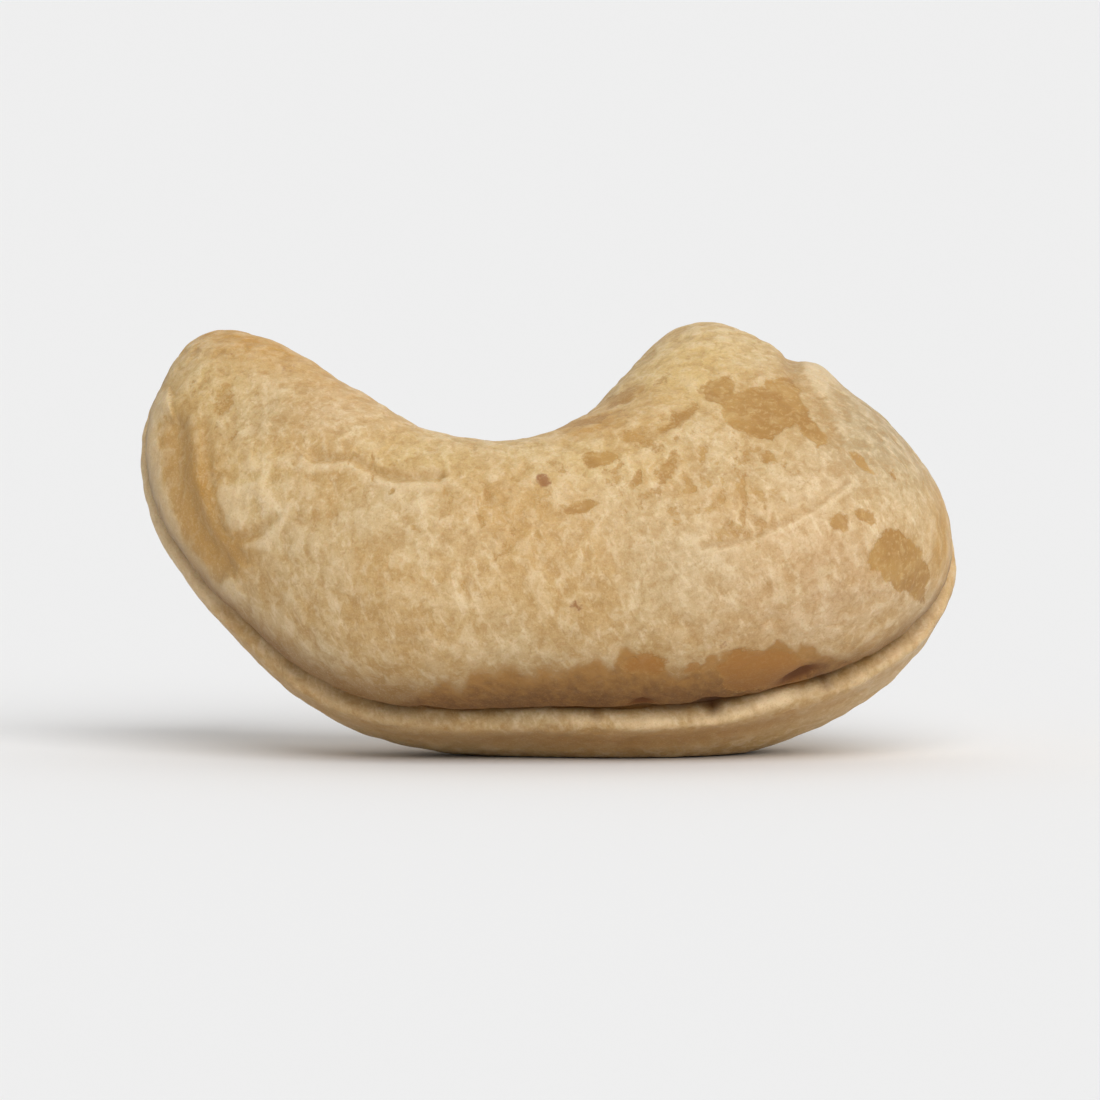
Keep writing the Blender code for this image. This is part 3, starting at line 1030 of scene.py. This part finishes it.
# %% Puckers and the notch
PUCKERS = [
    # across and up the picture, half length, half width, degrees turned, and share of the height
    (-10.6, 8.6, 0.42, 0.36, 0, 1.0),
    (-9.7, 8.75, 0.42, 0.34, 80, 1.0),
    (-9.8, 9.6, 0.45, 0.26, 10, 0.8),
    (-9.25, 8.1, 0.28, 0.28, 0, 0.8),
    (-10.4, 7.8, 0.34, 0.28, 0, 0.8),
    (-5.1, 8.6, 0.34, 0.24, 20, 0.7),
    (-4.3, 8.3, 0.28, 0.28, 0, 0.7),
    (8.95, 12.75, 0.60, 0.42, -35, 1.2),
]
PUCKER_HEIGHT = 0.09
SHOULDER_NOTCH = (8.02, 13.1, 0.26, 0.75, 8, 0.20)     # as the puckers, with its depth at the end

puckers = PUCKER_HEIGHT * soft_marks(seen, PUCKERS) * faces_front
notch = soft_marks(seen, [SHOULDER_NOTCH]) * faces_front
print(len(PUCKERS), "puckers, up to", puckers.max().round(2), "mm high")

# %% All the fine relief together
FILM_THICKNESS = 0.03
RIM_DENTS = 0.625              # how much the slow dents raise and lower the rim

small_relief = (
    GRAIN_HEIGHT * grains * (1 - GRAIN_LOSS * bare)
    - PIT_DEPTH * pits
    + STRIATION_HEIGHT * striations * (1 - STRIATION_LOSS * faces_front)
    + puckers
    - notch
    + creases
)
large_relief = (
    DENT_HEIGHT * dents
    - FILM_THICKNESS * bare
    - CRACK_DEPTH * crack
    - holes
    + RIM_HEIGHT * rim * strength * on_back * (1 + RIM_DENTS * dents)
)
fine_relief = small_relief + large_relief
print("the fine relief goes from", fine_relief.min().round(2), "to", fine_relief.max().round(2), "mm")

# %% [markdown]
# ## The mesh
#
# The points go into the mesh as one array, and each field that the material needs goes in as an attribute
# of the same length: one number for every point. Blender reads them back in the shader by name.

# %% Build the kernel
# The small relief is painted as well: painted shade in its hollows and a painted highlight on its rises.
SHADING_DEPTH = 0.04            # of the small relief, where the colour is darkest
# Holes are painted darker with their depth: painted shade over the exposed brown flesh.
HOLE_SHADE_DEPTH = 1 / 7        # of a hole, where the colour is darkest


def add_attribute(data, name, values):
    """Store one number, or three, for every point of the mesh under that name."""
    kind, key = ("FLOAT", "value") if values.ndim == 1 else ("FLOAT_VECTOR", "vector")
    data.attributes.new(name, kind, "POINT").data.foreach_set(key, values.astype(np.float32).ravel())


def build_kernel():
    """The finished points as a mesh object at the origin, smooth shaded."""
    fine = form + normals * fine_relief[:, None]
    points = pressed_flat(leaned(fine) - shift)
    points[:, 2] -= points[:, 2].min()
    data = bpy.data.meshes.new("kernel_skin")
    data.from_pydata(points * MM, [], triangles)
    data.shade_smooth()
    piece = bpy.data.objects.new("kernel_skin", data)
    bpy.context.scene.collection.objects.link(piece)
    print("kernel_skin:", len(data.polygons), "faces, volume", volume_of(points).round(0), "cubic mm")
    return piece


kernel = build_kernel()
fields = {
    "flecks": flecks,
    "band": band,
    "browning_and_shade": browning_and_shade,
    "crack": crack,
    "holes": np.clip(holes / HOLE_SHADE_DEPTH, 0, 1),
    "lip": lip_highlight_and_shade,
    "plates": band_plates,
    "coat": coat_specks,
    "relief_shading": np.clip(-small_relief / SHADING_DEPTH, -1, 1),
    "golden": golden,
    "yellow": yellow,
    "greyish": greyish,
    "rosy": rosy,
    "straight": straight,
}
for name, values in fields.items():
    add_attribute(kernel.data, name, values)
print("fields:", ", ".join(fields))

# %% [markdown]
# ## Shader maths as Python
#
# A material's node tree is a formula drawn as boxes and wires. It reads better as a formula. Value wraps
# one output of a node, and + - * on it add Math nodes. Finish holds the tree of one material, and its
# node() adds any other kind of node: first its settings, then its sockets.


# %% A value
class Value:
    """One output of a node. Adding, subtracting and multiplying it adds Math nodes."""

    def __init__(self, finish, socket):
        self.finish = finish
        self.socket = socket

    def math(self, operation, *sockets):
        """Add a Math node with that operation."""
        return self.finish.node("ShaderNodeMath", {"operation": operation}, dict(enumerate(sockets)))

    def __add__(self, other):
        return self.math("ADD", self, other)

    def __sub__(self, other):
        return self.math("SUBTRACT", self, other)

    def __rsub__(self, other):
        return self.math("SUBTRACT", other, self)

    def __mul__(self, other):
        return self.math("MULTIPLY", self, other)

    __radd__ = __add__
    __rmul__ = __mul__

    def eased(self, low, high):
        """0 below low, 1 above high, eased between; turned round where low is the higher one."""
        sockets = {"Value": self, "From Min": low, "From Max": high}
        return self.finish.node("ShaderNodeMapRange", {"interpolation_type": "SMOOTHSTEP"}, sockets)


# %% A finish
class Finish:
    """One material and its node tree."""

    def __init__(self, name):
        self.material = bpy.data.materials.new(name)
        self.material.use_nodes = True
        self.tree = self.material.node_tree
        self.shader = self.tree.nodes["Principled BSDF"]

    def set(self, socket, value):
        """Link a Value to a socket, or set the socket's own number or colour."""
        if isinstance(value, Value):
            self.tree.links.new(value.socket, socket)
        else:
            socket.default_value = value

    def node(self, kind, settings, sockets, output=0):
        """Add a node: its settings, then its sockets; gives the output of that number or name."""
        new = self.tree.nodes.new(kind)
        for name, value in settings.items():
            setattr(new, name, value)
        for name, value in sockets.items():
            self.set(new.inputs[name], value)
        return Value(self, new.outputs[output])

    def millimetres(self):
        """Object coordinates in millimetres."""
        place = self.node("ShaderNodeTexCoord", {}, {}, "Object")
        return self.node("ShaderNodeVectorMath", {"operation": "SCALE"}, {0: place, "Scale": 1 / MM})

    def attribute(self, name, output="Fac"):
        """A field of the mesh, by its name."""
        return self.node("ShaderNodeAttribute", {"attribute_name": name}, {}, output)

    def drawn_out(self, place, factors):
        """The place with each of its three numbers multiplied by a factor."""
        return self.node("ShaderNodeVectorMath", {"operation": "MULTIPLY"}, {0: place, 1: factors})

    def noise(self, place, size, detail=2.0, roughness=0.5, distortion=0.0):
        """Smooth noise from 0 to 1 about 0.5, with lumps of about that size; distortion bends them."""
        sockets = {"Vector": place, "Scale": 1 / size, "Detail": detail, "Roughness": roughness,
                   "Distortion": distortion}
        return self.node("ShaderNodeTexNoise", {}, sockets)

    def mix(self, share, first, second):
        """first where share is 0 and second where it is 1, as colours."""
        settings = {"data_type": "RGBA", "clamp_factor": True}
        return self.node("ShaderNodeMix", settings, {0: share, 6: first, 7: second}, 2)

    def laid_over(self, ground, layers):
        """Colours laid over a ground one after another, each as (share, colour)."""
        for share, tone in layers:
            ground = self.mix(share, ground, tone)
        return ground

    def finish(self, **sockets):
        """Feed the shader: each name is a socket of the Principled BSDF, with _ for a space."""
        for name, value in sockets.items():
            self.set(self.shader.inputs[name.replace("_", " ")], value)
        return self.material


# %% [markdown]
# ## The kernel's colours
#
# Each colour is given as it should look on the screen. The film is cream, with a warmer,
# a yellower, a rosier and a greyer tone. The flesh is golden, and browner in the band above the seam.


# %% The kernel's colours
def colour(red, green, blue):
    """A colour given as screen values from 0 to 255, turned into the linear light that shaders use."""
    linear = [(part / 255 / 12.92) if part < 10.3 else ((part / 255 + 0.055) / 1.055)**2.4
              for part in (red, green, blue)]
    return (*linear, 1.0)


FILM = colour(198, 169, 121)
FILM_WARM = colour(196, 161, 106)
FILM_YELLOW = colour(218, 188, 122)
FILM_GREY = colour(172, 150, 112)
FILM_ROSY = colour(201, 167, 126)
FILM_DEEP = colour(184, 149, 95)
FILM_PALE = colour(227, 205, 167)
FILM_DARK = colour(172, 132, 76)
FILM_GOLDEN = colour(189, 143, 70)
FLESH = colour(176, 133, 66)
FLESH_DEEP = colour(160, 114, 46)
FLESH_PALE = colour(196, 162, 102)
# Browned colours, darker towards the seam: browning with painted shade where the surface curls under.
BROWNED_AND_SHADED = colour(122, 82, 28)
BAND_TAN = colour(168, 121, 58)
BAND_BROWN_AND_SHADE = colour(104, 65, 18)
BAND_PLATE = colour(164, 108, 40)
# The lip's rim is cream with a painted highlight, and below it the lip has brown painted shade.
LIP_CREAM_AND_HIGHLIGHT = colour(230, 202, 158)
LIP_BROWN_SHADE = colour(160, 115, 58)
COAT = colour(140, 86, 40)
# Holes: the exposed brown flesh, with painted shade that deepens with their depth.
HOLE_BROWN_AND_SHADE = colour(104, 57, 0)
CRACK = colour(70, 34, 9)
print("the film is", [round(part, 3) for part in FILM[:3]], "in linear light")

# %% [markdown]
# ## The noises of the skin
#
# Film and flesh vary together, so both read the same noises. They go from mottling over a few millimetres
# down to a grain of a sixteenth of one. Streaks follow the curve of the kernel, so they are noise on the
# straight coordinates, drawn out along the first. Scuffs are drawn out along a slant.

# %% Noises from coarse to fine
SCUFF_SLANT = math.radians(28)


def skin_noises(nut):
    """Noises from coarse to fine, by name; the sizes are in millimetres."""
    place = nut.millimetres()
    laid_straight = nut.attribute("straight", "Vector")
    turn = {"Vector": place, "Angle": SCUFF_SLANT}
    slanted = nut.node("ShaderNodeVectorRotate", {"rotation_type": "Y_AXIS"}, turn)
    return SimpleNamespace(
        slow=nut.noise(place, size=4.0, detail=2.0),
        medium=nut.noise(place, size=1.1, detail=3.0, roughness=0.6),
        speckle=nut.noise(nut.drawn_out(place, (1.0, 1.0, 0.75)), 0.42, 2.0, roughness=0.55, distortion=0.8),
        fine=nut.noise(place, size=0.16, detail=3.0, roughness=0.6, distortion=0.4),
        grain=nut.noise(place, size=0.06, detail=2.0, roughness=0.6),
        streak=nut.noise(nut.drawn_out(laid_straight, (0.16, 1.0, 1.0)), 0.45, 3.0, roughness=0.6),
        scuffs=nut.noise(nut.drawn_out(slanted, (1.0, 1.0, 0.3)), 0.30, 2.0, roughness=0.6, distortion=0.3),
    )


# %% [markdown]
# ## Film, flesh and band
#
# Each is a ground colour with layers laid over it, as a painter glazes: a layer is a share from 0 to 1 and
# a colour. A share is a noise eased between two values, or a field from the mesh, or both multiplied. A
# Mix node clamps its share, so a field with a sign, such as relief_shading, gives one colour where it is
# positive and, turned round, another where it is negative: painted shade in the hollows of the small
# relief and a painted highlight on its rises.


# %% The colours of film, flesh and band
def film_colour(nut, noise):
    """Cream film: first tints, then pale and dark specks, painted shade in hollows and a painted highlight on
    rises, then browning with painted shade.
    """
    golden = nut.attribute("golden")
    relief_shading = nut.attribute("relief_shading")
    return nut.laid_over(FILM, [
        (noise.slow.eased(0.42, 0.62), FILM_WARM),
        (nut.attribute("rosy"), FILM_ROSY),
        (noise.medium.eased(0.48, 0.70) * 0.45, FILM_DEEP),
        (nut.attribute("greyish"), FILM_GREY),
        (noise.streak.eased(0.52, 0.72) * 0.2, FILM_PALE),
        (noise.scuffs.eased(0.53, 0.70) * 0.5, FILM_PALE),
        (nut.attribute("yellow") * 0.8, FILM_YELLOW),
        (golden * (0.7 + 0.4 * noise.medium), FILM_GOLDEN),
        (noise.speckle.eased(0.50, 0.66) * (0.35 - 0.14 * golden), FILM_PALE),
        (noise.speckle.eased(0.48, 0.34) * 0.42, FILM_DARK),
        (noise.fine.eased(0.54, 0.74) * (0.35 - 0.14 * golden), FILM_PALE),
        (noise.fine.eased(0.46, 0.30) * 0.40, FILM_DARK),
        # Painted shade in the hollows of the small relief, and a painted highlight on its rises.
        (relief_shading * 0.40, FILM_DARK),
        (relief_shading * -0.45, FILM_PALE),
        # Browning towards the seam, with painted shade where the surface curls under.
        (nut.attribute("browning_and_shade").eased(0.15, 1.05) * (0.7 + 0.5 * noise.medium), BROWNED_AND_SHADED),
    ])


def flesh_colour(nut, noise):
    """Golden flesh with pale specks, browner in the plates above the seam, and darker there with painted
    shade.
    """
    plates = nut.attribute("plates")
    return nut.laid_over(FLESH_DEEP, [
        (noise.medium.eased(0.40, 0.65), FLESH),
        (noise.fine.eased(0.50, 0.72) * 0.5, FLESH_PALE),
        (noise.speckle.eased(0.52, 0.70) * 0.4, FLESH_PALE),
        (plates * 0.85, BAND_PLATE),
        (plates * nut.attribute("browning_and_shade").eased(0.30, 1.1) * 0.55, BAND_BROWN_AND_SHADE),
    ])


def band_colour(nut, noise):
    """Tan at the film's border, browner and darker with painted shade at the seam; scuffs and mottling shift
    the change to and fro.
    """
    depth = nut.attribute("browning_and_shade") + (noise.scuffs - 0.5) * 0.7 + (noise.medium - 0.5) * 0.4
    return nut.mix(depth.eased(0.30, 1.1), BAND_TAN, BAND_BROWN_AND_SHADE)


# %% [markdown]
# ## The kernel's finish
#
# The fields say where band and flesh show. Fine noise is added to a field before it is eased within a
# narrow range, so the edges of the flecks are crisp and ragged. The lip, the specks of seed coat, the holes
# and the crack come last. Dry seed flesh lets a little light in, which is what the subsurface weight does.
# It is the same everywhere, so it is set on the shader's own socket.


# %% The kernel's finish
def kernel_finish():
    """Film, band and flesh, then the marks on top, and a fine bump from the same noises."""
    nut = Finish("kernel_film_and_flesh")
    noise = skin_noises(nut)
    speckle, fine, grain = noise.speckle, noise.fine, noise.grain
    in_band = (nut.attribute("band") + (speckle - 0.5) * 0.6 + (fine - 0.5) * 0.8).eased(0.25, 0.85)
    shows = (nut.attribute("flecks") + (speckle - 0.5) * 0.7 + (fine - 0.5) * 1.5).eased(0.32, 0.76)
    # The lip's field: cream with a painted highlight on its rim, and brown painted shade below it.
    lip = nut.attribute("lip") * (0.25 + 1.5 * speckle) + (fine - 0.5) * 0.3
    coat = (nut.attribute("coat") + (fine - 0.5) * 1.6).eased(0.35, 1.05)
    skin = nut.laid_over(film_colour(nut, noise), [
        (in_band * 0.9, band_colour(nut, noise)),
        (shows * 0.85, flesh_colour(nut, noise)),
        (lip * 0.9, LIP_CREAM_AND_HIGHLIGHT),
        (lip * -0.75, LIP_BROWN_SHADE),
        (grain.eased(0.50, 0.25) * 0.35, FILM_DARK),
        (grain.eased(0.52, 0.75) * (0.2 - 0.2 * shows) * (1 - in_band), FILM_PALE),
        (coat * 0.8, COAT),
        # Holes: exposed brown flesh, darkened with painted shade as they deepen.
        (nut.attribute("holes"), HOLE_BROWN_AND_SHADE),
        (nut.attribute("crack").eased(0.12, 0.75), CRACK),
    ])
    relief = grain * 0.008 + fine * 0.016 + speckle * 0.02 + noise.streak * 0.02 - (shows + in_band) * 0.015
    normal = nut.node("ShaderNodeBump", {}, {"Height": relief, "Distance": MM, "Strength": 1.0})
    return nut.finish(
        Base_Color=skin,
        Roughness=0.46 + 0.25 * fine - 0.06 * shows,
        Normal=normal,
        Subsurface_Weight=0.2,
        Subsurface_Radius=(1.0, 0.5, 0.22),
        Subsurface_Scale=0.6 * MM,
        Specular_IOR_Level=0.4,
    )


kernel.data.materials.append(kernel_finish())
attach(kernel, "root")
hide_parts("kernel")
print("the finish has", len(kernel.data.materials[0].node_tree.nodes), "nodes")

# %% [markdown]
# ## The floor and the light
#
# The nut is shown on a plain pale floor. The key light is soft and comes from the front, high up and a
# little from the right. A weak one fills in from the right, and one from behind lifts the top and the far
# side. Suns with a wide angle stand in for soft boxes, because a sun is as bright at the back of the floor
# as at the front, so the floor stays one even tone right up to the top of the picture.

# %% Floor, world and lights
FLOOR_HALF_SIZE = 4.0
FLOOR_GAP = 0.02 * MM          # below the flat spot, so that the two faces don't fight
FLOOR_TONE = 0.845
SKY_STRENGTH = 0.36


def build_floor():
    """A large square, a hair below the nut's flat spot."""
    data = bpy.data.meshes.new("floor")
    signs = ((-1, -1), (1, -1), (1, 1), (-1, 1))
    corners = [(x * FLOOR_HALF_SIZE, y * FLOOR_HALF_SIZE, -FLOOR_GAP) for x, y in signs]
    data.from_pydata(corners, [], [(0, 1, 2, 3)])
    floor = bpy.data.objects.new("floor", data)
    bpy.context.scene.collection.objects.link(floor)
    paint = Finish("pale_floor")
    tone = (FLOOR_TONE, FLOOR_TONE, FLOOR_TONE, 1.0)
    data.materials.append(paint.finish(Base_Color=tone, Roughness=0.9, Specular_IOR_Level=0.1))


def add_sun(name, azimuth, elevation, angle, strength):
    """A sun that shines from that azimuth (0 is the front, positive to the right) and elevation."""
    light = bpy.data.lights.new(name, "SUN")
    light.angle = math.radians(angle)
    light.energy = strength
    lamp = bpy.data.objects.new(name, light)
    lamp.rotation_euler = (math.radians(90 - elevation), 0, math.radians(azimuth))
    bpy.context.scene.collection.objects.link(lamp)


build_floor()
add_sun("key", azimuth=20, elevation=42, angle=50, strength=2.15)
add_sun("fill", azimuth=65, elevation=30, angle=90, strength=0.35)
add_sun("rear", azimuth=165, elevation=42, angle=90, strength=0.70)
world = bpy.data.worlds.new("studio")
world.use_nodes = True
world.node_tree.nodes["Background"].inputs["Color"].default_value = (1.0, 1.0, 1.0, 1.0)
world.node_tree.nodes["Background"].inputs["Strength"].default_value = SKY_STRENGTH
bpy.context.scene.world = world
bpy.context.scene.view_settings.view_transform = "Standard"

# %% [markdown]
# ## The camera
#
# The nut is seen from the front, four degrees from above, from so far away that there is hardly any
# perspective. The lens is worked out from the distance and from how much of the picture's width it spans.

# %% Camera
VIEW_DISTANCE = 0.70
VIEW_WIDTH = 0.0365
VIEW_TARGET = (0.0, 0.0, 0.0068)


def add_camera():
    """A camera that looks at the target; lens is sensor width times distance over view width."""
    data = bpy.data.cameras.new("camera")
    data.lens = data.sensor_width * VIEW_DISTANCE / VIEW_WIDTH
    data.clip_start = 0.01
    data.clip_end = 20.0
    camera = bpy.data.objects.new("camera", data)
    elevation = math.radians(VIEW_ELEVATION)
    offset = np.array([0, -math.cos(elevation), math.sin(elevation)]) * VIEW_DISTANCE
    camera.location = offset + VIEW_TARGET
    camera.rotation_euler = (math.radians(90 - VIEW_ELEVATION), 0, 0)
    bpy.context.scene.collection.objects.link(camera)
    bpy.context.scene.camera = camera
    print("the lens is", round(data.lens), "mm")


add_camera()
